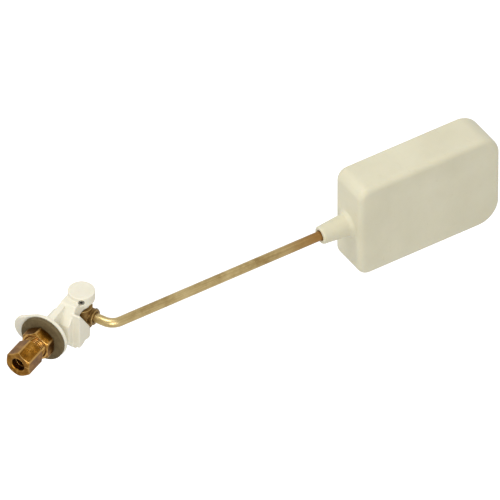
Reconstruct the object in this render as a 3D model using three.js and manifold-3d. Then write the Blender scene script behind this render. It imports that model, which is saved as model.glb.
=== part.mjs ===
// Float valve: a brass compression inlet, a white moulded body with a forked
// yoke, a plunger that a brass lever pushes onto the seat, and a hollow float
// on a cranked brass arm.
//
// Millimetres, +Z up. The origin is the centre of the gasket's sealing face.
// +X runs along the inlet axis into the tank, +Y is up when the valve is
// fitted to a wall, and +Z runs along the pivot pin.
import * as THREE from 'three';
import { mergeVertices } from 'three/addons/utils/BufferGeometryUtils.js';
import Module from 'manifold-3d';

const wasm = await Module();
wasm.setup();

// ---------- driving dimensions ----------
const GAP = 0.3;                  // clearance between touching pieces
const AXIS_STEPS = 40;            // facets round the large turned pieces
const SMALL_STEPS = 24;           // facets round pins, bores and screws

// inlet stack along X
const THREAD_RADIUS = 5.55;       // 7/16 in compression thread
const SHANK_START = -15.7;
const SHANK_CHAMFER = 0.5;
const SHANK_CONE = { radius: 4.9, depth: 1.8 };   // mouth that the sleeve is pressed into
const SHANK_SHOULDER = 2.0;
const SPIGOT_RADIUS = 4.1;
const SPIGOT_END = 9.0;
const TUBE_RADIUS = 3.3;          // socket for 1/4 in tube
const TUBE_STOP = -9.7;
const WATERWAY_RADIUS = 2.0;
const COMPRESSION_NUT = { acrossFlats: 12.7, start: -21.6, end: -9.5 };
const MOUNTING_NUT = { acrossFlats: 14.3, start: -6.3, end: -0.3 };
const NUT_BORE = THREAD_RADIUS + GAP;
const NUT_CHAMFER = 0.8;          // share of a corner's height
const NUT_CONE = { start: 3, end: 5 };            // behind the compression nut's outer face
const OVERRUN = 1;                // how far a cutter passes a face
const GASKET = { radius: 11.8, bore: NUT_BORE, nutRing: 8.6, thickness: 2.0 };
const SLEEVE = { start: -18.0, end: -14.9, radius: 4.35, tipRadius: 3.7, lead: 0.8, tail: 1.0 };
const O_RING = { x: 9.85, radius: 3.5, thickness: 0.55 };

// moulded body
const FLANGE = { start: 2.3, end: 4.1, radius: 12, earRadius: 7.5, earReach: 9.6 };
const BARREL = { radius: 5.8, root: 8.2, rootEnd: 8.4, end: 18.5 };
const SPIGOT_BORE = SPIGOT_RADIUS + GAP;
const SPIGOT_BORE_END = 10.7;
const SEAT_WALL_END = 11.9;
const PLUNGER_BORE = 3.7;
const YOKE = { front: -9.6, back: -1.0, root: 9, rootHalf: 5, shoulder: 15.5, height: 13.2 };
const GUSSET = { front: -4.2, sink: 0.5, root: 4.6, height: 11.3, shoulder: 12.8 };
const SLOT = { half: 6.1, end: 19, corner: 1 };
const BOSS_RADIUS = 4.0;
const UPPER_BOSS = { radius: 6.6, flareStart: 8.2, flareEnd: 10.2, end: 15.4 };
const LOWER_BOSS_END = 13.6;
const GUARD = { front: -13.4, side: 12.5, top: 10.5, topEnd: 13.7, tip: 21.9, tipHeight: -1.9, bottom: -9 };
const FAR = 50;                   // past every face, for cutters

// pivot and lever
const PIVOT = { x: 25.4, y: -6.5 };
const PIN = { radius: 1.2, top: 14.0, bottom: -13.6 };
const HUB = { radius: 5.4, half: 5.8 };
const NOSE = { x: 23.5, y: 0.7, radius: 1.6, half: 2.0 };
const SOCKET = { radius: 4.0, end: -13.6, floor: -9.2 };
const LOCK_SCREW = { height: 12.7, radius: 1.2, recess: 0.5, bearing: 211.8 };
const FINGER_WIDTH = 3.2;
const SET_SCREW = { y: -11.4, radius: 1.3, proud: 0.9 };

// plunger and seat
const NOZZLE = { radius: 2.6, start: 4.3, tip: 12.3, tipRadius: 1.9, taper: 1.4, orifice: 1.1 };
const PLUNGER = { radius: 3.4, start: 15.9, headEnd: 19.2, stemRadius: 1.9, end: 21.6, flat: 3.2 };
const PLUNGER_FLATS = 3;
const DISC = { radius: 2.5, start: 15.5, end: 17.0 };

// arm and float
const ARM_RADIUS = 2.38;          // 3/16 in rod
const ARM_X = 26.8;
const BEND = { x: ARM_X, y: -23.1, radius: 7 };
const ARM_ANGLE = -25.4;          // degrees from the inlet axis, valve fully open
const ARM_END = 132;              // along the arm from the bend
const ARM_STEPS = 12;             // one for each straight, the rest for the bend
const NECK = { tip: 118, end: 135, tipRadius: 4.5, rootRadius: 6.0 };
const INSERT = { start: 124, end: 133.6, radius: 3.9 };
const FLOAT = { start: 134, length: 80.7, height: 54, width: 22.5, edge: 3, wall: 1.8 };
const FLOAT_CORNERS = { near: 6, far: 12 };

// ---------- shape helpers ----------
function solidFrom(geometry) {
  const bare = geometry.clone();
  bare.deleteAttribute('normal');
  bare.deleteAttribute('uv');
  const merged = mergeVertices(bare, 1e-4);
  const index = merged.index.array;
  const triangles = [];
  for (let i = 0; i < index.length; i += 3) {
    const [a, b, c] = [index[i], index[i + 1], index[i + 2]];
    if (a !== b && b !== c && c !== a) triangles.push(a, b, c);
  }
  return new wasm.Manifold(new wasm.Mesh({
    numProp: 3,
    vertProperties: new Float32Array(merged.attributes.position.array),
    triVerts: new Uint32Array(triangles),
  }));
}

function geometryFrom(solid) {
  const mesh = solid.getMesh();
  const geometry = new THREE.BufferGeometry();
  geometry.setAttribute('position', new THREE.BufferAttribute(new Float32Array(mesh.vertProperties), 3));
  geometry.setIndex(new THREE.BufferAttribute(new Uint32Array(mesh.triVerts), 1));
  geometry.computeVertexNormals();
  return geometry;
}

// A turned piece about X. The outline is a list of [x, radius] that runs
// round the section with the metal on its left.
function turned(outline, steps = AXIS_STEPS) {
  const points = outline.map(([x, radius]) => new THREE.Vector2(radius, x));
  const last = outline[outline.length - 1];
  const onAxis = outline[0][1] === 0 && last[1] === 0;
  if (!onAxis) points.push(points[0].clone());
  const geometry = new THREE.LatheGeometry(points, steps);
  geometry.rotateZ(-Math.PI / 2);
  return geometry;
}

// A piece turned about an axis along Z, standing at x, y. The outline is as above, in z.
function turnedZ(outline, x, y, steps = AXIS_STEPS) {
  const geometry = turned(outline, steps);
  geometry.rotateY(-Math.PI / 2);
  geometry.translate(x, y, 0);
  return geometry;
}

// Rod along X from start to end.
function rodX(radius, start, end, steps = AXIS_STEPS) {
  return turned([[start, 0], [start, radius], [end, radius], [end, 0]], steps);
}

// Rod along Z, standing at x, y.
function rodZ(radius, start, end, x, y, steps = SMALL_STEPS) {
  const geometry = new THREE.CylinderGeometry(radius, radius, end - start, steps);
  geometry.rotateX(Math.PI / 2);
  geometry.translate(x, y, (start + end) / 2);
  return geometry;
}

// Rod along Y, at x.
function rodY(radius, start, end, x, steps = SMALL_STEPS) {
  const geometry = new THREE.CylinderGeometry(radius, radius, end - start, steps);
  geometry.translate(x, (start + end) / 2, 0);
  return geometry;
}

function block(x0, x1, y0, y1, z0, z1) {
  const geometry = new THREE.BoxGeometry(x1 - x0, y1 - y0, z1 - z0);
  geometry.translate((x0 + x1) / 2, (y0 + y1) / 2, (z0 + z1) / 2);
  return geometry;
}

// Hexagon bar along X with its flats at acrossFlats.
function hexBar(acrossFlats, start, end) {
  const corner = acrossFlats / Math.sqrt(3);
  const geometry = new THREE.CylinderGeometry(corner, corner, end - start, 6);
  geometry.rotateZ(-Math.PI / 2);
  geometry.translate((start + end) / 2, 0, 0);
  return geometry;
}

function join(first, ...others) {
  return others.reduce((sum, other) => sum.add(solidFrom(other)), solidFrom(first));
}

function cut(solid, ...cutters) {
  return cutters.reduce((rest, cutter) => rest.subtract(solidFrom(cutter)), solid);
}

// ---------- materials ----------
const WHITE_NYLON = { color: 0xe8e2ce, roughness: 0.5, metalness: 0 };
const FLOAT_PLASTIC = { color: 0xe2dbc8, roughness: 0.45, metalness: 0 };
const RUBBER = { color: 0x6b5f46, roughness: 0.85, metalness: 0 };
const BRASS = { color: 0xb07c3a, roughness: 0.32, metalness: 1 };
const ROD_BRASS = { color: 0xb49a62, roughness: 0.35, metalness: 1 };
const STEEL = { color: 0x77716a, roughness: 0.4, metalness: 1 };

const valve = new THREE.Group();
const arm = new THREE.Group();

function addPiece(name, geometry, look, parent = valve) {
  const piece = new THREE.Mesh(geometry, new THREE.MeshStandardMaterial(look));
  piece.name = name;
  parent.add(piece);
}

// ---------- inlet stack ----------
function chamferedNut(nut, bore) {
  const corner = nut.acrossFlats / Math.sqrt(3);
  const flat = nut.acrossFlats / 2;
  const drop = (corner - flat) * NUT_CHAMFER;
  const envelope = turned([
    [nut.start, 0], [nut.start, flat], [nut.start + drop, corner + 0.05],
    [nut.end - drop, corner + 0.05], [nut.end, flat], [nut.end, 0],
  ]);
  const blank = solidFrom(hexBar(nut.acrossFlats, nut.start, nut.end)).intersect(solidFrom(envelope));
  return geometryFrom(cut(blank, bore));
}

function mountingNut() {
  const { start, end } = MOUNTING_NUT;
  return chamferedNut(MOUNTING_NUT, rodX(NUT_BORE, start - OVERRUN, end + OVERRUN));
}

// The bore is a tube hole, then a cone that presses the sleeve, then the thread.
function compressionNut() {
  const { start, end } = COMPRESSION_NUT;
  const tubeHole = TUBE_RADIUS + 0.1;
  const bore = turned([
    [start - OVERRUN, 0], [start - OVERRUN, tubeHole], [start + NUT_CONE.start, tubeHole],
    [start + NUT_CONE.end, NUT_BORE], [end + OVERRUN, NUT_BORE], [end + OVERRUN, 0],
  ]);
  return chamferedNut(COMPRESSION_NUT, bore);
}

function compressionSleeve() {
  const { start, end, radius, tipRadius, lead, tail } = SLEEVE;
  return turned([
    [start, TUBE_RADIUS], [start, tipRadius], [start + lead, radius],
    [end - tail, radius], [end, tipRadius], [end, TUBE_RADIUS],
  ]);
}

function inletShank() {
  const nozzleBore = NOZZLE.radius + GAP;
  return turned([
    [SHANK_START, SHANK_CONE.radius],
    [SHANK_START, THREAD_RADIUS - SHANK_CHAMFER], [SHANK_START + SHANK_CHAMFER, THREAD_RADIUS],
    [SHANK_SHOULDER, THREAD_RADIUS], [SHANK_SHOULDER, SPIGOT_RADIUS], [SPIGOT_END, SPIGOT_RADIUS],
    [SPIGOT_END, nozzleBore], [NOZZLE.start - GAP, nozzleBore], [NOZZLE.start - GAP, WATERWAY_RADIUS],
    [TUBE_STOP, WATERWAY_RADIUS], [TUBE_STOP, TUBE_RADIUS], [SHANK_START + SHANK_CONE.depth, TUBE_RADIUS],
  ]);
}

// The sealing face has an inner ring under the nut and an outer ring that is clear of it.
function wallGasket() {
  const { bore, nutRing, radius, thickness } = GASKET;
  return turned([[0, bore], [0, nutRing], [0, radius], [thickness, radius], [thickness, bore]]);
}

function shankORing() {
  const geometry = new THREE.TorusGeometry(O_RING.radius, O_RING.thickness, 10, AXIS_STEPS);
  geometry.rotateY(Math.PI / 2);
  geometry.translate(O_RING.x, 0, 0);
  return geometry;
}

function seatNozzle() {
  const { radius, start, tip, tipRadius, taper, orifice } = NOZZLE;
  return turned([
    [start, orifice], [start, radius], [tip - taper, radius], [tip, tipRadius], [tip, orifice],
  ], SMALL_STEPS);
}

// ---------- moulded body ----------
// A round flange with one rounded ear that points up. The ear's sides are
// tangents to both arcs.
function flangePlate() {
  const { start, end, radius, earRadius, earReach } = FLANGE;
  const lean = Math.acos((radius - earRadius) / earReach);
  const shape = new THREE.Shape();
  shape.absarc(0, 0, radius, Math.PI / 2 + lean, Math.PI / 2 - lean + 2 * Math.PI, false);
  shape.absarc(0, earReach, earRadius, Math.PI / 2 - lean, Math.PI / 2 + lean, false);
  const plate = new THREE.ExtrudeGeometry(shape, {
    depth: end - start, bevelEnabled: false, curveSegments: 24,
  });
  plate.rotateX(Math.PI / 2);
  plate.rotateZ(Math.PI / 2);
  plate.rotateX(-Math.PI / 2);
  plate.translate(start, 0, 0);
  return plate;
}

// A slab with a shape drawn in x and z, from y0 to y1.
function slabAlongY(shape, y0, y1) {
  const geometry = new THREE.ExtrudeGeometry(shape, {
    depth: y1 - y0, bevelEnabled: false, curveSegments: 5,
  });
  geometry.rotateX(Math.PI / 2);
  geometry.translate(0, y1, 0);
  return geometry;
}

// The forked yoke, seen along Y. It widens from the barrel to the prongs.
function yokeFork() {
  const { root, rootHalf, shoulder, height, front, back } = YOKE;
  const shape = new THREE.Shape();
  shape.moveTo(root, -rootHalf);
  shape.lineTo(shoulder, -height);
  shape.lineTo(PIVOT.x, -height);
  shape.lineTo(PIVOT.x, height);
  shape.lineTo(shoulder, height);
  shape.lineTo(root, rootHalf);
  shape.closePath();
  return slabAlongY(shape, front, back);
}

// A rib from the flange to one prong: side is 1 for the upper prong, -1 for the lower.
function gusset(side) {
  const { front, sink, root, height, shoulder } = GUSSET;
  const start = FLANGE.end - sink;
  const shape = new THREE.Shape();
  shape.moveTo(start, side * root);
  shape.lineTo(YOKE.shoulder, side * root);
  shape.lineTo(YOKE.shoulder, side * shoulder);
  shape.lineTo(start, side * height);
  shape.closePath();
  return slabAlongY(shape, front, YOKE.back);
}

// A guard in front of the hub's inlet side. Its sloping edge leaves the lever free.
function hubGuard() {
  const { front, side, top, topEnd, tip, tipHeight, bottom } = GUARD;
  const shape = new THREE.Shape();
  shape.moveTo(side, top);
  shape.lineTo(topEnd, top);
  shape.lineTo(tip, tipHeight);
  shape.lineTo(tip, -SLOT.half);
  shape.lineTo(YOKE.shoulder, bottom);
  shape.lineTo(side, bottom);
  shape.closePath();
  return slabAlongY(shape, front, YOKE.front + 1);
}

// The slot that the lever turns in, with rounded corners at its closed end.
function yokeSlot() {
  const { half, end, corner } = SLOT;
  const shape = new THREE.Shape();
  shape.moveTo(FAR, -half);
  shape.lineTo(FAR, half);
  shape.absarc(end + corner, half - corner, corner, Math.PI / 2, Math.PI, false);
  shape.absarc(end + corner, corner - half, corner, Math.PI, 3 * Math.PI / 2, false);
  shape.closePath();
  return slabAlongY(shape, YOKE.front - 1, FAR);
}

// A bore across the upper boss, on the lock screw's bearing.
function lockScrewRod(radius, start, end) {
  const geometry = rodX(radius, start, end, SMALL_STEPS);
  geometry.rotateZ(THREE.MathUtils.degToRad(LOCK_SCREW.bearing));
  geometry.translate(PIVOT.x, PIVOT.y, LOCK_SCREW.height);
  return geometry;
}

// The prongs end in bosses for the pin. The upper one flares out to a thick head.
function prongBosses() {
  const { radius, flareStart, flareEnd, end } = UPPER_BOSS;
  const upper = [
    [0, 0], [0, BOSS_RADIUS], [flareStart, BOSS_RADIUS], [flareEnd, radius], [end, radius], [end, 0],
  ];
  return [
    turnedZ(upper, PIVOT.x, PIVOT.y),
    rodZ(BOSS_RADIUS, -LOWER_BOSS_END, 0, PIVOT.x, PIVOT.y, AXIS_STEPS),
  ];
}

function valveBody() {
  const barrel = turned([
    [FLANGE.start + 1, 0], [FLANGE.start + 1, BARREL.root], [FLANGE.end, BARREL.root],
    [BARREL.rootEnd, BARREL.radius], [BARREL.end, BARREL.radius], [BARREL.end, 0],
  ]);
  const nozzleBore = NOZZLE.radius + GAP;
  const bores = turned([
    [0, 0], [0, SPIGOT_BORE], [SPIGOT_BORE_END, SPIGOT_BORE], [SPIGOT_BORE_END, nozzleBore],
    [SEAT_WALL_END, nozzleBore], [SEAT_WALL_END, PLUNGER_BORE], [FAR, PLUNGER_BORE], [FAR, 0],
  ]);
  const pinBore = rodZ(PIN.radius + GAP, -FAR, PIN.top + GAP, PIVOT.x, PIVOT.y);
  const screwBore = lockScrewRod(LOCK_SCREW.radius + GAP, 0, UPPER_BOSS.radius + 1);
  const hubPocket = rodZ(HUB.radius + GAP, -SLOT.half, SLOT.half, PIVOT.x, PIVOT.y, AXIS_STEPS);
  const moulding = join(flangePlate(), barrel, gusset(1), gusset(-1), yokeFork(), ...prongBosses());
  const slotted = cut(moulding, yokeSlot());
  const guarded = slotted.add(solidFrom(hubGuard()));
  return geometryFrom(cut(guarded, bores, pinBore, screwBore, hubPocket));
}

// ---------- plunger ----------
// Three flats on the head let the water past to the open end of the barrel.
function plunger() {
  const { radius, start, headEnd, stemRadius, end, flat } = PLUNGER;
  const blank = turned([
    [start, 0], [start, radius], [headEnd, radius], [headEnd, stemRadius], [end, stemRadius], [end, 0],
  ]);
  const cup = rodX(DISC.radius + GAP, start - 1, DISC.end + GAP);
  const flats = [];
  for (let i = 0; i < PLUNGER_FLATS; i += 1) {
    const side = block(start - 1, headEnd + 1, flat, radius + 1, -radius, radius);
    side.rotateX(i * 2 * Math.PI / PLUNGER_FLATS);
    flats.push(side);
  }
  return geometryFrom(cut(solidFrom(blank), cup, ...flats));
}

function seatDisc() {
  return rodX(DISC.radius, DISC.start, DISC.end);
}

// ---------- pivot and lever ----------
function pivotPin() {
  return rodZ(PIN.radius, PIN.bottom, PIN.top, PIVOT.x, PIVOT.y);
}

function pinLockScrew() {
  return lockScrewRod(LOCK_SCREW.radius, PIN.radius + GAP, UPPER_BOSS.radius - LOCK_SCREW.recess);
}

// Hub on the pin, with a finger up to the plunger and a socket down to the arm.
function leverHub() {
  const hub = rodZ(HUB.radius, -HUB.half, HUB.half, PIVOT.x, PIVOT.y, AXIS_STEPS);
  const nose = rodZ(NOSE.radius, -NOSE.half, NOSE.half, NOSE.x, NOSE.y);
  const fingerTop = NOSE.y + NOSE.radius;
  const finger = block(NOSE.x, NOSE.x + FINGER_WIDTH, PIVOT.y + 2, fingerTop, -NOSE.half, NOSE.half);
  const socket = rodY(SOCKET.radius, SOCKET.end, PIVOT.y, ARM_X, AXIS_STEPS);
  const solid = join(hub, nose, finger, socket);
  const pinBore = rodZ(PIN.radius + GAP, -FAR, FAR, PIVOT.x, PIVOT.y);
  const armBore = rodY(ARM_RADIUS + GAP, SOCKET.end - 1, SOCKET.floor, ARM_X);
  const screwBore = rodX(SET_SCREW.radius + GAP, ARM_X, ARM_X + SOCKET.radius + 2, SMALL_STEPS);
  screwBore.translate(0, SET_SCREW.y, 0);
  return geometryFrom(cut(solid, pinBore, armBore, screwBore));
}

function armSetScrew() {
  const start = ARM_X + ARM_RADIUS + GAP;
  const screw = rodX(SET_SCREW.radius, start, ARM_X + SOCKET.radius + SET_SCREW.proud, SMALL_STEPS);
  screw.translate(0, SET_SCREW.y, 0);
  return screw;
}

// ---------- arm ----------
// The arm's centre line: a leg down from the lever hub, a round bend and a
// long straight run. Whole steps fall on the ends of the bend.
class ArmPath extends THREE.Curve {
  constructor() {
    super();
    this.angle = THREE.MathUtils.degToRad(ARM_ANGLE);
    this.turn = Math.PI / 2 + this.angle;
    this.setback = BEND.radius * Math.tan(this.turn / 2);
  }

  getPoint(t, target = new THREE.Vector3()) {
    const step = t * ARM_STEPS;
    const centreX = ARM_X + BEND.radius;
    const centreY = BEND.y + this.setback;
    if (step <= 1) {
      const top = SOCKET.floor - GAP;
      return target.set(ARM_X, top + (centreY - top) * step, 0);
    }
    if (step < ARM_STEPS - 1) {
      const phi = Math.PI + this.turn * (step - 1) / (ARM_STEPS - 2);
      return target.set(centreX + BEND.radius * Math.cos(phi), centreY + BEND.radius * Math.sin(phi), 0);
    }
    const along = this.setback + (ARM_END - this.setback) * (step - ARM_STEPS + 1);
    return target.set(BEND.x + along * Math.cos(this.angle), BEND.y + along * Math.sin(this.angle), 0);
  }

  getTangent(t, target = new THREE.Vector3()) {
    const share = THREE.MathUtils.clamp((t * ARM_STEPS - 1) / (ARM_STEPS - 2), 0, 1);
    const heading = -Math.PI / 2 + this.turn * share;
    return target.set(Math.cos(heading), Math.sin(heading), 0);
  }

  getPointAt(t, target) {
    return this.getPoint(t, target);
  }

  getTangentAt(t, target) {
    return this.getTangent(t, target);
  }
}

function floatArm() {
  const section = new THREE.Shape();
  section.absarc(0, 0, ARM_RADIUS, 0, 2 * Math.PI, false);
  return new THREE.ExtrudeGeometry(section, {
    steps: ARM_STEPS, extrudePath: new ArmPath(), bevelEnabled: false, curveSegments: 12,
  });
}

// ---------- float, along +X of the arm's own group ----------
// A slab with every edge rounded. Its corners are tighter at the end near the neck.
function roundedSlab(length, height, width, edge, inset, x0) {
  const [l, h] = [length / 2 - edge, height / 2 - edge];
  const near = FLOAT_CORNERS.near - edge - inset;
  const far = FLOAT_CORNERS.far - edge - inset;
  const shape = new THREE.Shape();
  shape.absarc(l - far, h - far, far, 0, Math.PI / 2, false);
  shape.absarc(-l + near, h - near, near, Math.PI / 2, Math.PI, false);
  shape.absarc(-l + near, -h + near, near, Math.PI, 3 * Math.PI / 2, false);
  shape.absarc(l - far, -h + far, far, 3 * Math.PI / 2, 2 * Math.PI, false);
  shape.closePath();
  const geometry = new THREE.ExtrudeGeometry(shape, {
    depth: width - 2 * edge, bevelThickness: edge, bevelSize: edge, bevelSegments: 4, curveSegments: 8,
  });
  geometry.translate(0, 0, -(width - 2 * edge) / 2);
  geometry.rotateX(Math.PI / 2);
  geometry.translate(x0 + length / 2, 0, 0);
  return geometry;
}

function floatShell() {
  const { start, length, height, width, edge, wall } = FLOAT;
  const neck = turned([
    [NECK.tip, 0], [NECK.tip, NECK.tipRadius], [NECK.end, NECK.rootRadius],
    [NECK.end + 1, NECK.rootRadius], [NECK.end + 1, 0],
  ]);
  const outer = join(roundedSlab(length, height, width, edge, 0, start), neck);
  const cavity = roundedSlab(
    length - 2 * wall, height - 2 * wall, width - 2 * wall, edge - wall / 2, wall, start + wall);
  const bore = turned([
    [NECK.tip - 1, 0], [NECK.tip - 1, ARM_RADIUS + GAP], [INSERT.start - GAP, ARM_RADIUS + GAP],
    [INSERT.start - GAP, INSERT.radius + GAP], [start + wall + 1, INSERT.radius + GAP],
    [start + wall + 1, 0],
  ]);
  return geometryFrom(cut(outer, cavity, bore));
}

function floatInsert() {
  const bore = ARM_RADIUS + GAP;
  return turned([
    [INSERT.start, bore], [INSERT.start, INSERT.radius], [INSERT.end, INSERT.radius], [INSERT.end, bore],
  ]);
}

// ---------- assembly ----------
addPiece('valve_body', valveBody(), WHITE_NYLON);
addPiece('wall_gasket', wallGasket(), RUBBER);
addPiece('mounting_nut', mountingNut(), BRASS);
addPiece('inlet_shank', inletShank(), BRASS);
addPiece('compression_nut', compressionNut(), BRASS);
addPiece('compression_sleeve', compressionSleeve(), BRASS);
addPiece('shank_o_ring', shankORing(), RUBBER);
addPiece('seat_nozzle', seatNozzle(), BRASS);
addPiece('plunger', plunger(), WHITE_NYLON);
addPiece('seat_disc', seatDisc(), RUBBER);
addPiece('pivot_pin', pivotPin(), BRASS);
addPiece('pin_lock_screw', pinLockScrew(), STEEL);
addPiece('lever_hub', leverHub(), BRASS);
addPiece('arm_set_screw', armSetScrew(), STEEL);
addPiece('float_arm', floatArm(), ROD_BRASS);

arm.position.set(BEND.x, BEND.y, 0);
arm.rotation.z = THREE.MathUtils.degToRad(ARM_ANGLE);
addPiece('float_shell', floatShell(), FLOAT_PLASTIC, arm);
addPiece('float_insert', floatInsert(), BRASS, arm);
valve.add(arm);

export default valve;
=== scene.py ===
import math

import bmesh
import bpy
from mathutils import Matrix, Vector, noise

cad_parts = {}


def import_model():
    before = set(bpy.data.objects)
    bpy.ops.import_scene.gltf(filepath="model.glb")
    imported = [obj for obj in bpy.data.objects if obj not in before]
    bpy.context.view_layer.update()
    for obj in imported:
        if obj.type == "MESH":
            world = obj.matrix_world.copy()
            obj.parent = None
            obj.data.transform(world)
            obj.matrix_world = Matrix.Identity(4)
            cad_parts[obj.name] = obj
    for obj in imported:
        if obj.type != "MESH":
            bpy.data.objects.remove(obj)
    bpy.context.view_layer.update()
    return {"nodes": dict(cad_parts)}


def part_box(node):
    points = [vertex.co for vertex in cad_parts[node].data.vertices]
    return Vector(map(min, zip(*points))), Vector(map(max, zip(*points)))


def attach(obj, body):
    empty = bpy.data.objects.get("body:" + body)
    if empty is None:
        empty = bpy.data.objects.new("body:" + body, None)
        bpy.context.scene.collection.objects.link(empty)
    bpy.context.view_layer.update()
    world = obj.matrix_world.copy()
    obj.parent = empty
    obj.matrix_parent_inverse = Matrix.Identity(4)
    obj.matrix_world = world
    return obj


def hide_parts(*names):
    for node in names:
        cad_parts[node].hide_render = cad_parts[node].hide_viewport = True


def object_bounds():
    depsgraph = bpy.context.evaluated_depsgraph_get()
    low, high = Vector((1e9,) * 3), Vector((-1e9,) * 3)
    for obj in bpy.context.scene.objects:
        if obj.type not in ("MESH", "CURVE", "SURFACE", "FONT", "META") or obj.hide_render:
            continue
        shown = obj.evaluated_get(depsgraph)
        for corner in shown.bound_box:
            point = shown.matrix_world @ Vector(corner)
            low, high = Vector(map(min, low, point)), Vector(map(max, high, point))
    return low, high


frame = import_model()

# ---------- units and driving sizes, in metres ----------
MM = 0.001
FRAME_BODY = "valve_frame"
LEVER_BODY = "float_lever"
PLUNGER_BODY = "valve_plunger"
GAP = 0.3 * MM                     # between touching pieces
FINE = 0.2 * MM                    # fillet on small turned pieces
SHARP_ANGLE = math.radians(38)     # edges that turn more than this stay sharp

THREAD_PITCH = 1.058 * MM          # 24 threads to the inch
THREAD_DEPTH = 0.6 * MM
NUT_BORE = 5.85 * MM
NUT_LEAD = 0.5 * MM                # chamfer at the mouths of a nut's bore
TUBE_HOLE = 3.4 * MM               # radius in the nut, for 1/4 in tube
TUBE_SOCKET = 3.3 * MM             # radius in the shank and the sleeve
HEX_CORNER = 1.135                 # radius of a hexagon's broken corners over that of its flats

LOCK_SCREW_BEARING = math.radians(211.8)    # about +Z, from +X
LOCK_SCREW_LENGTH = 4.6 * MM

ARM_RADIUS = 2.38 * MM
ARM_ANGLE = math.radians(-25.4)    # the arm's droop at rest
BEND_RADIUS = 7 * MM
BEND_CORNER = Vector((26.8, -23.1, 0)) * MM
ARM_LENGTH = 132 * MM              # from the bend's corner to the rod's end

FLOAT_START = 134 * MM             # along the arm from the bend's corner, as the neck and insert are
FLOAT_LENGTH = 80.7 * MM
FLOAT_HEIGHT = 54 * MM
FLOAT_WIDTH = 22.5 * MM
FLOAT_CORNERS = (6 * MM, 12 * MM)  # at the neck's end and at the far end
FLOAT_EDGE = 3 * MM
NECK_TIP = 118 * MM
NECK_TIP_RADIUS = 4.5 * MM
NECK_ROOT_RADIUS = 6.0 * MM

FLOOR_DROP = 300 * MM              # below the lowest point


# ---------- mesh helpers ----------
def new_piece(name, mesh, body, material, node):
    """Links a finished mesh as a piece that rides on a body and stands for a CAD node."""
    obj = bpy.data.objects.new(name, mesh)
    bpy.context.scene.collection.objects.link(obj)
    obj.data.materials.append(material)
    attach(obj, body)
    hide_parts(node)


def finished(bm, name):
    """Turns a bmesh into a mesh with outward faces, smooth but for its sharp edges."""
    bmesh.ops.recalc_face_normals(bm, faces=bm.faces)
    mesh = bpy.data.meshes.new(name)
    bm.to_mesh(mesh)
    bm.free()
    mesh.shade_smooth()
    mesh.set_sharp_from_angle(angle=SHARP_ANGLE)
    return mesh


def filleted(points, segments=4):
    """Rounds the corners of a closed section. A point is (x, r) or (x, r, fillet)."""
    most_of_side = 0.45
    result = []
    count = len(points)
    for i, point in enumerate(points):
        corner = Vector(point[:2])
        fillet = point[2] if len(point) > 2 else 0
        if fillet <= 0:
            result.append(tuple(corner))
            continue
        before = Vector(points[i - 1][:2]) - corner
        after = Vector(points[(i + 1) % count][:2]) - corner
        reach = min(fillet, before.length * most_of_side, after.length * most_of_side)
        start = corner + before.normalized() * reach
        end = corner + after.normalized() * reach
        for k in range(segments + 1):
            t = k / segments
            result.append(tuple(start * (1 - t) ** 2 + corner * 2 * t * (1 - t) + end * t ** 2))
    return result


def turned(name, stations, steps=96, radius_at=None):
    """A piece turned about X. Stations that start and end on the axis are a solid, others a ring."""
    bm = bmesh.new()
    rings = []
    for x, r in stations:
        if r == 0:
            rings.append([bm.verts.new((x, 0, 0))])
            continue
        ring = []
        for j in range(steps):
            angle = 2 * math.pi * j / steps
            radius = radius_at(x, r, angle) if radius_at else r
            ring.append(bm.verts.new((x, radius * math.cos(angle), radius * math.sin(angle))))
        rings.append(ring)
    on_axis = len(rings[0]) == 1
    following = rings[1:] if on_axis else rings[1:] + rings[:1]
    for a, b in zip(rings, following):
        bridge(bm, a, b)
    return finished(bm, name)


def bridge(bm, a, b):
    """Faces between two rings, or between a ring and a point."""
    steps = max(len(a), len(b))
    for j in range(steps):
        k = (j + 1) % steps
        corners = [a[j % len(a)], a[k % len(a)], b[k % len(b)], b[j % len(b)]]
        unique = list(dict.fromkeys(corners))
        if len(unique) > 2:
            bm.faces.new(unique)


def hex_radius(flat, angle):
    """Radius of a hexagon with its flats toward +Y, with the corners just broken."""
    off_flat = (angle + math.pi / 6) % (math.pi / 3) - math.pi / 6
    return min(flat / math.cos(off_flat), flat * HEX_CORNER)


def clamped(value):
    return min(1, max(0, value))


def moved(mesh, matrix):
    mesh.transform(matrix)
    return mesh


def remeshed(node, voxel, smoothing):
    """A copy of a CAD node's shape with its edges melted round, as a moulding or casting has."""
    bm = bmesh.new()
    bm.from_mesh(frame["nodes"][node].data)
    bmesh.ops.remove_doubles(bm, verts=bm.verts, dist=0.002 * MM)
    raw = bpy.data.meshes.new(node + "_raw")
    bm.to_mesh(raw)
    bm.free()
    return melted(raw, node + "_skin", voxel, smoothing)


def melted(raw, name, voxel, smoothing):
    """The mesh after a voxel remesh and some smoothing, ready to use."""
    helper = bpy.data.objects.new(name + "_helper", raw)
    bpy.context.scene.collection.objects.link(helper)
    remesh = helper.modifiers.new("remesh", "REMESH")
    remesh.mode = "VOXEL"
    remesh.voxel_size = voxel
    smooth = helper.modifiers.new("smooth", "SMOOTH")
    smooth.factor = 0.5
    smooth.iterations = smoothing
    graph = bpy.context.evaluated_depsgraph_get()
    mesh = bpy.data.meshes.new_from_object(helper.evaluated_get(graph))
    mesh.name = name
    bpy.data.objects.remove(helper)
    mesh.shade_smooth()
    return mesh


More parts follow.
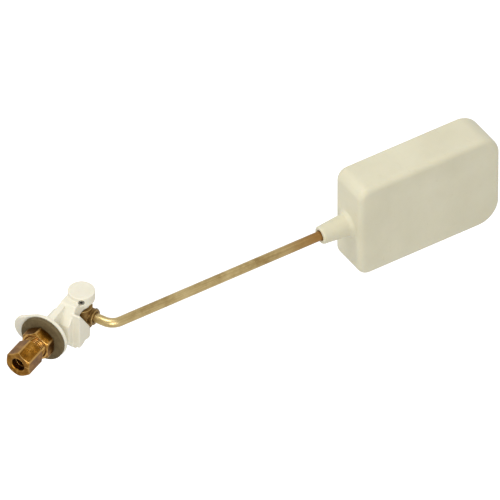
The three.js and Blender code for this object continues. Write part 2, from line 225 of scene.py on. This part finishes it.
# ---------- materials ----------
class Surface:
    """A node material built round one Principled shader, in object coordinates."""

    def __init__(self, name, **sockets):
        self.material = bpy.data.materials.new(name)
        self.material.use_nodes = True
        self.nodes = self.material.node_tree.nodes
        self.links = self.material.node_tree.links
        self.shader = self.nodes["Principled BSDF"]
        self.coords = self.nodes.new("ShaderNodeTexCoord").outputs["Object"]
        self.bump_normal = None
        for socket, value in sockets.items():
            self.shader.inputs[socket.replace("_", " ")].default_value = value

    def mapping(self, setting, value, coords=None):
        """Object coordinates, or those given, after a Scale or a Rotation."""
        node = self.nodes.new("ShaderNodeMapping")
        node.inputs[setting].default_value = value
        self.links.new(coords or self.coords, node.inputs["Vector"])
        return node.outputs["Vector"]

    def noise(self, scale, detail=4, roughness=0.55, coords=None):
        node = self.nodes.new("ShaderNodeTexNoise")
        node.inputs["Scale"].default_value = scale
        node.inputs["Detail"].default_value = detail
        node.inputs["Roughness"].default_value = roughness
        self.links.new(coords or self.coords, node.inputs["Vector"])
        return node.outputs["Fac"]

    def ramp(self, factor, *stops):
        """stops are (position, colour)."""
        node = self.nodes.new("ShaderNodeValToRGB")
        while len(node.color_ramp.elements) < len(stops):
            node.color_ramp.elements.new(0.5)
        for element, (position, colour) in zip(node.color_ramp.elements, stops):
            element.position = position
            element.color = (*colour, 1)
        self.links.new(factor, node.inputs["Fac"])
        return node.outputs["Color"]

    def mapped(self, value, low, high, to_low=0, to_high=1):
        """Maps low to high onto to_low to to_high, and stops at both ends."""
        node = self.nodes.new("ShaderNodeMapRange")
        node.inputs["From Min"].default_value = low
        node.inputs["From Max"].default_value = high
        node.inputs["To Min"].default_value = to_low
        node.inputs["To Max"].default_value = to_high
        self.links.new(value, node.inputs["Value"])
        return node.outputs["Result"]

    def spread(self, factor, low, high):
        """Maps the middle half of a noise onto low to high."""
        return self.mapped(factor, 0.25, 0.75, low, high)

    def edges(self, low, high):
        """0 on flat ground, 1 on the worn convex edges."""
        pointiness = self.nodes.new("ShaderNodeNewGeometry").outputs["Pointiness"]
        return self.mapped(pointiness, low, high)

    def mix(self, factor, first, second, mode="MIX"):
        """Mixes two colours. The numbers are the colour sockets of a Mix node."""
        node = self.nodes.new("ShaderNodeMix")
        node.data_type = "RGBA"
        node.blend_type = mode
        plug(self.links, factor, node.inputs[0])
        plug(self.links, first, node.inputs[6])
        plug(self.links, second, node.inputs[7])
        return node.outputs[2]

    def bump(self, height, strength, distance):
        """Adds a layer of bump on top of those before it."""
        node = self.nodes.new("ShaderNodeBump")
        node.inputs["Strength"].default_value = strength
        node.inputs["Distance"].default_value = distance
        self.links.new(height, node.inputs["Height"])
        if self.bump_normal is not None:
            self.links.new(self.bump_normal, node.inputs["Normal"])
        self.bump_normal = node.outputs["Normal"]
        self.links.new(self.bump_normal, self.shader.inputs["Normal"])

    def colour(self, output):
        self.links.new(output, self.shader.inputs["Base Color"])

    def roughness(self, output):
        self.links.new(output, self.shader.inputs["Roughness"])


def plug(links, value, socket):
    """Links a socket's output to an input, or sets the input to a number or a colour."""
    if isinstance(value, bpy.types.NodeSocket):
        links.new(value, socket)
    elif isinstance(value, tuple):
        socket.default_value = (*value, 1)
    else:
        socket.default_value = value


def turned_brass():
    """Machined brass: tool rings across the axis, patches of brown tarnish, bright worn edges."""
    s = Surface("turned_brass", Metallic=1.0, Anisotropic=0.25)
    base = s.ramp(
        s.noise(170, 5, 0.6),
        (0.30, (0.14, 0.054, 0.005)), (0.52, (0.27, 0.114, 0.012)), (0.72, (0.52, 0.275, 0.055)))
    specks = s.ramp(s.noise(1900, 2), (0.60, (1, 1, 1)), (0.72, (0.62, 0.55, 0.48)))
    base = s.mix(1.0, base, specks, "MULTIPLY")
    s.colour(s.mix(s.edges(0.51, 0.56), base, (0.76, 0.46, 0.15)))
    s.roughness(s.spread(s.noise(420, 4), 0.20, 0.42))
    rings = s.noise(900, 2, 0.5, s.mapping("Scale", (6, 0.15, 0.15)))
    s.bump(rings, 0.22, 0.05 * MM)
    s.bump(s.noise(2600, 2), 0.10, 0.03 * MM)
    return s.material


def lever_brass():
    """Cast brass, tumbled: browner, with a fine sandy skin."""
    s = Surface("lever_brass", Metallic=1.0)
    base = s.ramp(
        s.noise(260, 5, 0.65),
        (0.32, (0.18, 0.10, 0.03)), (0.55, (0.30, 0.18, 0.06)), (0.75, (0.42, 0.27, 0.10)))
    s.colour(s.mix(s.edges(0.505, 0.55), base, (0.60, 0.42, 0.17)))
    s.roughness(s.spread(s.noise(700, 3), 0.34, 0.58))
    s.bump(s.noise(1500, 3), 0.35, 0.09 * MM)
    return s.material


def rod_brass():
    """Drawn brass rod: pale, with fine draw lines, soft brown stains and a browner float end."""
    s = Surface("rod_brass", Metallic=1.0, Anisotropic=0.3)
    along = s.mapping("Scale", (0.02, 1, 1), s.mapping("Rotation", (0, 0, -ARM_ANGLE)))
    streaks = s.noise(2600, 3, 0.6, along)
    base = s.ramp(
        s.noise(90, 4, 0.6),
        (0.30, (0.46, 0.315, 0.125)), (0.50, (0.68, 0.52, 0.245)), (0.72, (0.80, 0.64, 0.33)))
    lines = s.ramp(streaks, (0.35, (0.80, 0.77, 0.72)), (0.60, (1, 1, 1)))
    base = s.mix(1.0, base, lines, "MULTIPLY")
    split = s.nodes.new("ShaderNodeSeparateXYZ")
    s.links.new(s.coords, split.inputs["Vector"])
    float_end = s.mapped(split.outputs["X"], 108 * MM, 130 * MM)
    s.colour(s.mix(float_end, base, (0.42, 0.225, 0.07)))
    s.roughness(s.spread(s.noise(500, 3), 0.26, 0.42))
    s.bump(streaks, 0.16, 0.04 * MM)
    return s.material


def rubber():
    """Grey-brown rubber with a matt, slightly dusty skin."""
    s = Surface("gasket_rubber", Specular_IOR_Level=0.2)
    base = s.ramp(s.noise(330, 5, 0.65), (0.30, (0.092, 0.066, 0.028)), (0.70, (0.155, 0.115, 0.054)))
    dust = s.ramp(s.noise(2400, 3), (0.58, (0, 0, 0)), (0.80, (1, 1, 1)))
    s.colour(s.mix(dust, base, (0.22, 0.175, 0.10)))
    s.roughness(s.spread(s.noise(900, 3), 0.66, 0.88))
    s.bump(s.noise(1800, 4, 0.7), 0.35, 0.08 * MM)
    return s.material


def white_nylon():
    """Moulded nylon: warm white, satin, with faint flow marks and handling grime."""
    s = Surface(
        "white_nylon", Subsurface_Weight=0.22, Subsurface_Radius=(0.9 * MM, 0.7 * MM, 0.45 * MM),
        Subsurface_Scale=1.0, Specular_IOR_Level=0.42)
    flow = s.ramp(
        s.noise(120, 4, 0.6, s.mapping("Scale", (0.4, 1, 1))),
        (0.30, (0.73, 0.69, 0.555)), (0.70, (0.80, 0.762, 0.635)))
    grime = s.ramp(s.noise(900, 5, 0.7), (0.62, (1, 1, 1)), (0.80, (0.86, 0.83, 0.77)))
    s.colour(s.mix(1.0, flow, grime, "MULTIPLY"))
    s.roughness(s.spread(s.noise(500, 3), 0.36, 0.54))
    s.bump(s.noise(1400, 3), 0.16, 0.06 * MM)
    return s.material


def float_plastic():
    """Blow-moulded polythene: milky, a little waxy, with slow waves and fine scuffs."""
    s = Surface(
        "float_plastic", Subsurface_Weight=0.35, Subsurface_Radius=(2.4 * MM, 1.9 * MM, 1.2 * MM),
        Subsurface_Scale=1.0, Specular_IOR_Level=0.4)
    cloud = s.ramp(s.noise(32, 4, 0.55), (0.30, (0.65, 0.612, 0.450)), (0.70, (0.72, 0.682, 0.515)))
    scuffs = s.ramp(
        s.noise(520, 5, 0.75, s.mapping("Scale", (1, 0.25, 0.6))),
        (0.60, (1, 1, 1)), (0.82, (0.90, 0.87, 0.82)))
    s.colour(s.mix(1.0, cloud, scuffs, "MULTIPLY"))
    s.roughness(s.spread(s.noise(260, 4), 0.34, 0.55))
    s.bump(s.noise(60, 3), 0.25, 0.35 * MM)
    s.bump(s.noise(1100, 3), 0.10, 0.05 * MM)
    return s.material


def screw_steel():
    """Plain steel grub screw, dark, with brighter edges."""
    s = Surface("screw_steel", Metallic=1.0)
    base = s.ramp(s.noise(800, 4), (0.30, (0.10, 0.09, 0.075)), (0.70, (0.26, 0.24, 0.21)))
    s.colour(s.mix(s.edges(0.51, 0.57), base, (0.45, 0.43, 0.40)))
    s.roughness(s.spread(s.noise(1200, 3), 0.28, 0.48))
    s.bump(s.noise(2500, 2), 0.15, 0.03 * MM)
    return s.material


BRASS = turned_brass()
LEVER_BRASS = lever_brass()
ROD_BRASS = rod_brass()
RUBBER = rubber()
NYLON = white_nylon()
POLYTHENE = float_plastic()
STEEL = screw_steel()


# ---------- inlet stack ----------
def nut(name, bore, bore_fillet=0):
    """A hexagon nut on the CAD nut's box, with the corners chamfered at both ends."""
    low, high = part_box(name)
    flat = high.y
    corner = high.z
    end_face = flat * 0.985
    chamfer = (corner - flat) * 0.8
    steps = 6
    shares = [i / steps for i in range(steps + 1)]
    taper = [(chamfer * t, end_face + (corner - end_face) * t) for t in shares]
    outside = [(low.x + inward, r) for inward, r in taper]
    outside += [(high.x - inward, r) for inward, r in reversed(taper)]
    stations = outside + filleted([(x, r, bore_fillet) for x, r in bore])
    mesh = turned(name + "_mesh", stations, 144, lambda x, r, angle: min(r, hex_radius(flat, angle)))
    new_piece(name + "_body", mesh, FRAME_BODY, BRASS, name)


def mounting_nut():
    low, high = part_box("mounting_nut")
    mouth = NUT_BORE + NUT_LEAD
    nut("mounting_nut", [
        (high.x, mouth), (high.x - NUT_LEAD, NUT_BORE), (low.x + NUT_LEAD, NUT_BORE), (low.x, mouth),
    ])


def compression_nut():
    """The bore is a tube hole, then a cone that presses the sleeve, then the thread."""
    low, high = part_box("compression_nut")
    cone_start = low.x + 3 * MM
    cone_end = low.x + 5 * MM
    thread_mouth = NUT_BORE + 0.4 * MM
    nut("compression_nut", [
        (high.x, thread_mouth), (high.x - NUT_LEAD, NUT_BORE), (cone_end, NUT_BORE),
        (cone_start, TUBE_HOLE), (low.x + NUT_LEAD, TUBE_HOLE), (low.x, TUBE_HOLE + NUT_LEAD),
    ], 0.15 * MM)


def inlet_shank():
    """The shank with its real helical thread, a tube socket and a water way."""
    low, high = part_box("inlet_shank")
    thread = high.z
    thread_end = 1.6 * MM
    thread_start_length = 0.9 * MM     # over which the thread grows to its full height
    flank_slope = 2.5                  # depths for each pitch
    crest_cut = 0.12                   # what is cut off the sharp crest, in depths
    stations_per_turn = 8
    cone_mouth = 4.95 * MM
    cone_end = low.x + 1.8 * MM
    tube_stop = -9.7 * MM
    water_way = 2.0 * MM
    shoulder = 2.0 * MM
    spigot = 4.1 * MM
    nozzle_bore = 2.9 * MM
    nozzle_floor = 4.0 * MM
    stations = [(low.x, cone_mouth)]
    count = int((thread_end - low.x) / (THREAD_PITCH / stations_per_turn))
    for i in range(count + 1):
        x = low.x + (thread_end - low.x) * i / count
        stations.append((x, thread))
    stations += filleted([
        (shoulder, thread - THREAD_DEPTH), (shoulder, spigot), (high.x, spigot, 0.3 * MM),
        (high.x, nozzle_bore, FINE), (nozzle_floor, nozzle_bore), (nozzle_floor, water_way),
        (tube_stop, water_way, FINE), (tube_stop, TUBE_SOCKET), (cone_end, TUBE_SOCKET),
    ])

    def thread_radius(x, r, angle):
        if r != thread:
            return r
        phase = (x / THREAD_PITCH - angle / (2 * math.pi)) % 1
        groove = clamped(abs(phase - 0.5) * flank_slope - crest_cut)
        height = clamped((x - low.x) / thread_start_length)
        return thread - THREAD_DEPTH * (1 - height * (1 - groove))

    mesh = turned("inlet_shank_mesh", stations, 96, thread_radius)
    new_piece("threaded_shank", mesh, FRAME_BODY, BRASS, "inlet_shank")


def wall_gasket():
    """A washer with soft edges and a slightly uneven outline."""
    low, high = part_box("wall_gasket")
    soft = 0.45 * MM
    ripple = 0.004                     # as a share of the radius
    noise_round = 2
    noise_across = 900                 # for each metre of radius
    section = filleted([
        (low.x, NUT_BORE, soft), (low.x, high.z, soft), (high.x, high.z, soft), (high.x, NUT_BORE, soft),
    ], 5)

    def uneven(x, r, angle):
        place = (math.cos(angle) * noise_round, math.sin(angle) * noise_round, r * noise_across)
        wave = noise.noise(Vector(place))
        return r * (1 - ripple + ripple * wave)

    mesh = turned("wall_gasket_mesh", section, 120, uneven)
    new_piece("rubber_washer", mesh, FRAME_BODY, RUBBER, "wall_gasket")


def ring_piece(node, section, material):
    """A fixed ring about the inlet axis."""
    mesh = turned(node + "_mesh", filleted(section), 72)
    new_piece(node + "_ring", mesh, FRAME_BODY, material, node)


def compression_sleeve():
    low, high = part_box("compression_sleeve")
    tip = 3.7 * MM
    lead = 0.8 * MM
    tail = 1.0 * MM
    ring_piece("compression_sleeve", [
        (low.x, TUBE_SOCKET, FINE), (low.x, tip, FINE), (low.x + lead, high.z, FINE),
        (high.x - tail, high.z, FINE), (high.x, tip, FINE), (high.x, TUBE_SOCKET, FINE),
    ], BRASS)


def shank_o_ring():
    low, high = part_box("shank_o_ring")
    thick = (high.x - low.x) / 2
    middle = high.z - thick
    steps = 16
    section = []
    for k in range(steps):
        turn = -2 * math.pi * k / steps
        section.append((low.x + thick + thick * math.cos(turn), middle + thick * math.sin(turn)))
    ring_piece("shank_o_ring", section, RUBBER)


def seat_nozzle():
    low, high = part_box("seat_nozzle")
    orifice = 1.1 * MM
    tip = 1.9 * MM
    taper = 1.4 * MM
    ring_piece("seat_nozzle", [
        (low.x, orifice), (low.x, high.z, FINE), (high.x - taper, high.z, FINE),
        (high.x, tip, FINE), (high.x, orifice, 0.1 * MM),
    ], BRASS)


def seat_disc():
    low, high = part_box("seat_disc")
    mesh = turned("seat_disc_mesh", [
        (low.x, 0), (low.x, high.z - FINE), (low.x + FINE, high.z), (high.x, high.z), (high.x, 0),
    ], 64)
    new_piece("rubber_seat_disc", mesh, PLUNGER_BODY, RUBBER, "seat_disc")


# ---------- moulded and cast pieces ----------
def valve_body():
    mesh = remeshed("valve_body", voxel=0.225 * MM, smoothing=11)
    new_piece("moulded_body", mesh, FRAME_BODY, NYLON, "valve_body")


def plunger():
    mesh = remeshed("plunger", voxel=0.13 * MM, smoothing=3)
    new_piece("moulded_plunger", mesh, PLUNGER_BODY, NYLON, "plunger")


def lever_hub():
    mesh = remeshed("lever_hub", voxel=0.15 * MM, smoothing=5)
    new_piece("cast_lever", mesh, LEVER_BODY, LEVER_BRASS, "lever_hub")


# ---------- pin and screws ----------
def pivot_pin():
    low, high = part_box("pivot_pin")
    radius = (high.x - low.x) / 2
    centre = (low + high) / 2
    half = (high.z - low.z) / 2
    edge = 0.3 * MM
    stations = [
        (-half, 0), (-half, radius - edge), (-half + edge, radius),
        (half - edge, radius), (half, radius - edge), (half, 0),
    ]
    mesh = turned("pivot_pin_mesh", stations, 48)
    upright = Matrix.Translation(centre) @ Matrix.Rotation(-math.pi / 2, 4, "Y")
    new_piece("hinge_pin", moved(mesh, upright), FRAME_BODY, BRASS, "pivot_pin")


def grub_screw(name, node, body, length, radius, place):
    """A grub screw along X with a threaded side and a hexagon socket in its outer end."""
    socket = radius * 0.55
    depth = 1.3 * MM
    pitch = 0.45 * MM
    cut = 0.12 * MM
    stations_per_turn = 6
    count = int(length / (pitch / stations_per_turn))
    stations = [(0, 0), (0, radius - cut)]
    stations += [(length * i / count, radius) for i in range(1, count)]
    stations += [(length, radius - cut), (length, socket), (length - depth, socket), (length - depth, 0)]

    def shape(x, r, angle):
        if r == socket:
            return hex_radius(socket, angle)
        if r == radius:
            return radius - cut * abs((x / pitch - angle / (2 * math.pi)) % 1 - 0.5) * 2
        return r

    mesh = turned(name + "_mesh", stations, 48, shape)
    new_piece(name, moved(mesh, place), body, STEEL, node)


def arm_set_screw():
    """The screw that holds the arm, pointing out along +X."""
    low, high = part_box("arm_set_screw")
    middle = (low + high) / 2
    place = Matrix.Translation((low.x, middle.y, middle.z))
    grub_screw("arm_grub_screw", "arm_set_screw", LEVER_BODY, high.x - low.x, (high.z - low.z) / 2, place)


def pin_lock_screw():
    """The screw in the side of the upper boss, from just clear of the pin outward."""
    low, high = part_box("pin_lock_screw")
    radius = (high.z - low.z) / 2
    pin_low, pin_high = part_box("pivot_pin")
    axis = (pin_low + pin_high) / 2
    start = (pin_high.x - pin_low.x) / 2 + GAP
    outward = Vector((math.cos(LOCK_SCREW_BEARING), math.sin(LOCK_SCREW_BEARING), 0))
    base = Vector((axis.x, axis.y, (low.z + high.z) / 2)) + outward * start
    place = Matrix.Translation(base) @ Matrix.Rotation(LOCK_SCREW_BEARING, 4, "Z")
    grub_screw("pin_grub_screw", "pin_lock_screw", FRAME_BODY, LOCK_SCREW_LENGTH, radius, place)


# ---------- arm and float ----------
ALONG_ARM = Matrix.Translation(BEND_CORNER) @ Matrix.Rotation(ARM_ANGLE, 4, "Z")


def arm_path():
    """Centre points and headings of the cranked rod, from its top in the lever to its tip."""
    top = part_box("float_arm")[1].y
    turn = math.pi / 2 + ARM_ANGLE
    setback = BEND_RADIUS * math.tan(turn / 2)
    centre = Vector((BEND_CORNER.x + BEND_RADIUS, BEND_CORNER.y + setback, 0))
    points = [(Vector((BEND_CORNER.x, top, 0)), -math.pi / 2)]
    bend_steps = 28
    for i in range(bend_steps + 1):
        angle = math.pi + turn * i / bend_steps
        spot = centre + BEND_RADIUS * Vector((math.cos(angle), math.sin(angle), 0))
        points.append((spot, angle - 3 * math.pi / 2))
    along = Vector((math.cos(ARM_ANGLE), math.sin(ARM_ANGLE), 0))
    bend_end = points[-1][0]
    tip = BEND_CORNER + along * ARM_LENGTH
    straight_steps = 24
    for i in range(1, straight_steps + 1):
        points.append((bend_end.lerp(tip, i / straight_steps), ARM_ANGLE))
    return points


def float_arm():
    bm = bmesh.new()
    steps = 48
    rings = []
    for spot, heading in arm_path():
        side = Vector((-math.sin(heading), math.cos(heading), 0))
        ring = []
        for j in range(steps):
            angle = 2 * math.pi * j / steps
            out = side * math.cos(angle) + Vector((0, 0, 1)) * math.sin(angle)
            ring.append(bm.verts.new(spot + out * ARM_RADIUS))
        rings.append(ring)
    for a, b in zip(rings, rings[1:]):
        bridge(bm, a, b)
    for ring in (rings[0], rings[-1]):
        bm.faces.new(ring)
    mesh = finished(bm, "float_arm_mesh")
    new_piece("cranked_rod", mesh, LEVER_BODY, ROD_BRASS, "float_arm")


def rounded_outline(inset):
    """Points round the float's big face, inset from its edge and centred on the origin."""
    near, far = FLOAT_CORNERS
    corners = [(1, 1, far), (-1, 1, near), (-1, -1, near), (1, -1, far)]
    arc_steps = 14
    points = []
    for quarter, (sign_x, sign_y, radius) in enumerate(corners):
        centre = Vector((sign_x * (FLOAT_LENGTH / 2 - radius), sign_y * (FLOAT_HEIGHT / 2 - radius)))
        for k in range(arc_steps + 1):
            angle = math.radians(90 * quarter + 90 * k / arc_steps)
            points.append(centre + (radius - inset) * Vector((math.cos(angle), math.sin(angle))))
    return points


def float_blank():
    """The float's box along the arm. Its big faces sink a little toward the middle."""
    sink = 0.55 * MM
    half = FLOAT_WIDTH / 2
    face_steps = 12
    edge_steps = 6
    inner = rounded_outline(FLOAT_EDGE)
    outlines = []                      # (place across the float, points), from a face's middle out
    for k in range(1, face_steps + 1):
        share = k / face_steps
        across = -half + sink * (1 - share ** 2) ** 1.5
        outlines.append((across, [point * share for point in inner]))
    for k in range(1, edge_steps + 1):
        angle = math.pi / 2 * (1 - k / edge_steps)
        across = -half + FLOAT_EDGE - FLOAT_EDGE * math.sin(angle)
        outlines.append((across, rounded_outline(FLOAT_EDGE - FLOAT_EDGE * math.cos(angle))))
    bm = bmesh.new()
    rings = [[bm.verts.new((p.x, across, p.y)) for p in points] for across, points in outlines]
    rings += [[bm.verts.new((p.x, -across, p.y)) for p in points] for across, points in outlines[::-1]]
    for a, b in zip(rings, rings[1:]):
        bridge(bm, a, b)
    bm.faces.new(rings[0])
    bm.faces.new(rings[-1])
    bmesh.ops.translate(bm, verts=bm.verts, vec=(FLOAT_START + FLOAT_LENGTH / 2, 0, 0))
    return finished(bm, "float_blank")


def float_neck():
    """The tapered neck, rounded at its tip, with a foot that spreads into the box."""
    rod_hole = ARM_RADIUS + GAP
    taper_end = FLOAT_START - 2 * MM
    foot = NECK_ROOT_RADIUS + 2 * MM
    foot_start = FLOAT_START + 1.5 * MM
    foot_end = FLOAT_START + 5 * MM
    section = filleted([
        (NECK_TIP, rod_hole), (NECK_TIP, NECK_TIP_RADIUS, 0.8 * MM),
        (taper_end, NECK_ROOT_RADIUS - 0.3 * MM), (foot_start, foot), (foot_end, foot), (foot_end, rod_hole),
    ])
    return turned("float_neck", section, 72)


def float_shell():
    """The box and the neck melted into one skin."""
    bm = bmesh.new()
    bm.from_mesh(float_blank())
    bm.from_mesh(float_neck())
    raw = bpy.data.meshes.new("float_raw")
    bm.to_mesh(raw)
    bm.free()
    skin = melted(raw, "float_skin", voxel=0.42 * MM, smoothing=6)
    new_piece("hollow_float", moved(skin, ALONG_ARM), LEVER_BODY, POLYTHENE, "float_shell")


def float_insert():
    bore = ARM_RADIUS + GAP
    start = 124 * MM
    end = 133.6 * MM
    outer = 3.9 * MM
    section = filleted([(start, bore), (start, outer, 0.3 * MM), (end, outer, 0.3 * MM), (end, bore)])
    mesh = turned("float_insert_mesh", section, 64)
    new_piece("neck_insert", moved(mesh, ALONG_ARM), LEVER_BODY, BRASS, "float_insert")


# ---------- stage, light and camera ----------
def floor():
    """A pale floor that the camera sees but that throws no light back up."""
    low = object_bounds()[0]
    bpy.ops.mesh.primitive_plane_add(size=12, location=(0, 0, low[2] - FLOOR_DROP))
    plane = bpy.context.object
    plane.name = "studio_floor"
    plane.visible_diffuse = False
    plane.visible_glossy = False
    s = Surface(
        "pale_floor", Roughness=0.9, Specular_IOR_Level=0.1, Emission_Color=(1, 1, 1, 1),
        Emission_Strength=0.35)
    s.colour(s.ramp(s.noise(3, 2), (0.3, (0.93, 0.93, 0.93)), (0.7, (0.95, 0.95, 0.95))))
    plane.data.materials.append(s.material)


def world():
    """Soft, nearly even light from all round, a little greyer overhead."""
    sky = bpy.data.worlds.new("studio")
    bpy.context.scene.world = sky
    sky.use_nodes = True
    nodes, links = sky.node_tree.nodes, sky.node_tree.links
    coords = nodes.new("ShaderNodeTexCoord")
    split = nodes.new("ShaderNodeSeparateXYZ")
    ramp = nodes.new("ShaderNodeValToRGB")
    links.new(coords.outputs["Generated"], split.inputs["Vector"])
    links.new(split.outputs["Z"], ramp.inputs["Fac"])
    below, overhead = ramp.color_ramp.elements
    below.position = 0.0
    below.color = (1.05, 1.05, 1.05, 1)
    overhead.position = 0.75
    overhead.color = (0.92, 0.92, 0.92, 1)
    links.new(ramp.outputs["Color"], nodes["Background"].inputs["Color"])
    nodes["Background"].inputs["Strength"].default_value = 0.72


def area_light(name, place, target, size, power, tint=(1, 1, 1)):
    data = bpy.data.lights.new(name, "AREA")
    data.shape = "DISK"
    data.size = size
    data.energy = power
    data.color = tint
    light = bpy.data.objects.new(name, data)
    bpy.context.scene.collection.objects.link(light)
    light.location = place
    light.rotation_euler = (Vector(target) - Vector(place)).to_track_quat("-Z", "Y").to_euler()


def lights():
    """Key from above, fill from the camera's side, and two small lights on the valve end."""
    middle = (0.1, -0.05, 0)
    valve_end = (0.015, -0.005, 0)
    area_light("key", (-0.15, 0.25, 0.95), middle, size=0.55, power=4.3)
    area_light("fill", (-0.7, -0.6, 0.5), middle, size=0.5, power=2.2)
    area_light("valve_fill", (-0.32, -0.22, 0.06), valve_end, size=0.16, power=0.24)
    area_light("glint", (0.30, -0.19, 0.33), valve_end, size=0.05, power=0.02, tint=(1, 0.95, 0.86))


def camera():
    """Long lens, looking down at the valve from its inlet side."""
    azimuth = math.radians(-58.2)
    elevation = math.radians(41.7)
    target = Vector((107.0, -50.7, 0)) * MM
    view_width = 240 * MM
    data = bpy.data.cameras.new("camera")
    data.lens = 1600
    data.sensor_width = 36
    data.clip_end = 50
    back = Vector((
        math.sin(azimuth) * math.cos(elevation), -math.cos(azimuth) * math.cos(elevation),
        math.sin(elevation)))
    view = bpy.data.objects.new("camera", data)
    bpy.context.scene.collection.objects.link(view)
    view.location = target + back * (view_width * data.lens / data.sensor_width)
    view.rotation_euler = (-back).to_track_quat("-Z", "Y").to_euler()
    bpy.context.scene.camera = view


mounting_nut()
compression_nut()
inlet_shank()
wall_gasket()
compression_sleeve()
shank_o_ring()
seat_nozzle()
seat_disc()
valve_body()
plunger()
lever_hub()
pivot_pin()
arm_set_screw()
pin_lock_screw()
float_arm()
float_shell()
float_insert()
floor()
world()
lights()
camera()
bpy.context.scene.view_settings.view_transform = "Standard"
